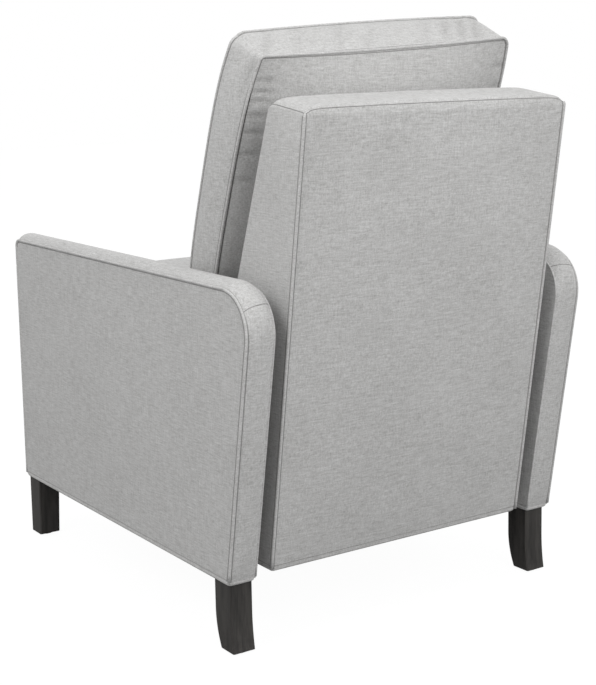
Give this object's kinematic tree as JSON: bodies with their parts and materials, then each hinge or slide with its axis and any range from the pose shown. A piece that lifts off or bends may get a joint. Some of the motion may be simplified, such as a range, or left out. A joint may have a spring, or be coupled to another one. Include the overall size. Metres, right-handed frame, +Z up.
{
  "type": "recliner",
  "caption": "High-leg push-back recliner in light grey linen with slim track arms, a tall leaning back, a loose back cushion and sabre-curved dark legs.",
  "frame": {"origin": "On the floor, below the middle of the whole chair at rest", "axes": "+Z up, -Y towards the front where the sitter faces, +X to the sitter's left"},
  "size_m": [0.712, 0.9786, 1.0329],
  "materials": {
    "linen_fabric": "matte",
    "timber": "matte",
    "leg_wood": "satin",
    "nylon": "matte",
    "zinc_steel": "satin",
    "black_steel": "satin",
    "dust_cover": "matte",
    "webbing": "matte",
    "felt": "matte",
    "spring_steel": "satin"
  },
  "bodies": {
    "base": {"arm_cover_left": "linen_fabric", "arm_cover_right": "linen_fabric", "arm_frame_left": "timber", "arm_frame_right": "timber", "front_stretcher": "timber", "rear_stretcher": "timber", "front_leg_left": "leg_wood", "front_leg_right": "leg_wood", "rear_leg_left": "leg_wood", "rear_leg_right": "leg_wood", "leg_glides": "nylon", "leg_bolts": "zinc_steel", "base_plate_left": "black_steel", "base_plate_right": "black_steel", "base_plate_screws": "zinc_steel", "base_rivets": "zinc_steel"},
    "front_swing_links": {"front_swing_link_left": "black_steel", "front_swing_link_right": "black_steel"},
    "rear_swing_links": {"rear_swing_link_left": "black_steel", "rear_swing_link_right": "black_steel"},
    "seat": {"seat_plate_left": "black_steel", "seat_plate_right": "black_steel", "seat_plate_bolts": "zinc_steel", "seat_rivets": "zinc_steel", "seat_side_rail_left": "timber", "seat_side_rail_right": "timber", "seat_front_rail": "timber", "seat_rear_rail": "timber", "seat_nosing": "linen_fabric", "dust_cloth": "dust_cover", "seat_deck": "felt", "seat_springs": "spring_steel", "seat_cushion": "linen_fabric"},
    "drive_links": {"drive_link_left": "black_steel", "drive_link_right": "black_steel", "drive_link_rivets": "zinc_steel"},
    "front_links": {"front_link_left": "black_steel", "front_link_right": "black_steel", "front_link_rivets": "zinc_steel", "footrest_tie_tube": "black_steel"},
    "upper_links": {"upper_link_left": "black_steel", "upper_link_right": "black_steel", "upper_link_rivets": "zinc_steel"},
    "lower_links": {"lower_link_left": "black_steel", "lower_link_right": "black_steel", "lower_link_rivets": "zinc_steel"},
    "footrest": {"footrest_board": "timber", "footrest_pad": "linen_fabric", "footrest_bracket_left": "black_steel", "footrest_bracket_right": "black_steel", "footrest_screws": "zinc_steel"},
    "back": {"back_cover": "linen_fabric", "back_side_panels": "timber", "back_rails": "timber", "back_webbing": "webbing", "back_cushion": "linen_fabric", "back_bracket_left": "black_steel", "back_bracket_right": "black_steel", "back_bracket_bolts": "zinc_steel", "back_hinge_pins": "zinc_steel"}
  },
  "joints": [
    {"name": "front_swing", "type": "hinge", "parent": "base", "child": "front_swing_links", "pos_m": [0, -0.22999, 0.23538], "axis": [1, 0, 0], "range_deg": [0, 36.02]},
    {"name": "seat_ride", "type": "hinge", "parent": "front_swing_links", "child": "seat", "pos_m": [0, -0.196, 0.34], "axis": [-1, 0, 0], "range_deg": [0, 36.02]},
    {"name": "rear_swing", "type": "hinge", "parent": "base", "child": "rear_swing_links", "pos_m": [0, 0.08001, 0.23538], "axis": [1, 0, 0], "range_deg": [0, 36.02]},
    {"name": "footrest_open", "type": "hinge", "parent": "seat", "child": "drive_links", "pos_m": [0, -0.356, 0.3318], "axis": [-1, 0, 0], "range_deg": [0, 88.62]},
    {"name": "front_link_swing", "type": "hinge", "parent": "seat", "child": "front_links", "pos_m": [0, -0.3305, 0.398], "axis": [-1, 0, 0], "range_deg": [0, 75.35]},
    {"name": "upper_link_swing", "type": "hinge", "parent": "drive_links", "child": "upper_links", "pos_m": [0, -0.3186, 0.2311], "axis": [-1, 0, 0], "range_deg": [-120.65, 0]},
    {"name": "lower_link_swing", "type": "hinge", "parent": "drive_links", "child": "lower_links", "pos_m": [0, -0.3186, 0.1811], "axis": [-1, 0, 0], "range_deg": [-120.66, 0]},
    {"name": "footrest_tilt", "type": "hinge", "parent": "upper_links", "child": "footrest", "pos_m": [0, -0.406, 0.38], "axis": [-1, 0, 0], "range_deg": [0, 120.57]},
    {"name": "back_recline", "type": "hinge", "parent": "seat", "child": "back", "pos_m": [0, 0.204, 0.335], "axis": [-1, 0, 0], "range_deg": [0, 30]}
  ],
  "couplings": [
    {"joint": "front_swing", "follows": "footrest_open", "ratio": 0.40621},
    {"joint": "seat_ride", "follows": "footrest_open", "ratio": 0.40621},
    {"joint": "rear_swing", "follows": "footrest_open", "ratio": 0.40621},
    {"joint": "front_link_swing", "follows": "footrest_open", "ratio": 0.84998},
    {"joint": "upper_link_swing", "follows": "footrest_open", "ratio": -1.3611},
    {"joint": "lower_link_swing", "follows": "footrest_open", "ratio": -1.3612},
    {"joint": "footrest_tilt", "follows": "footrest_open", "ratio": 1.3602}
  ]
}
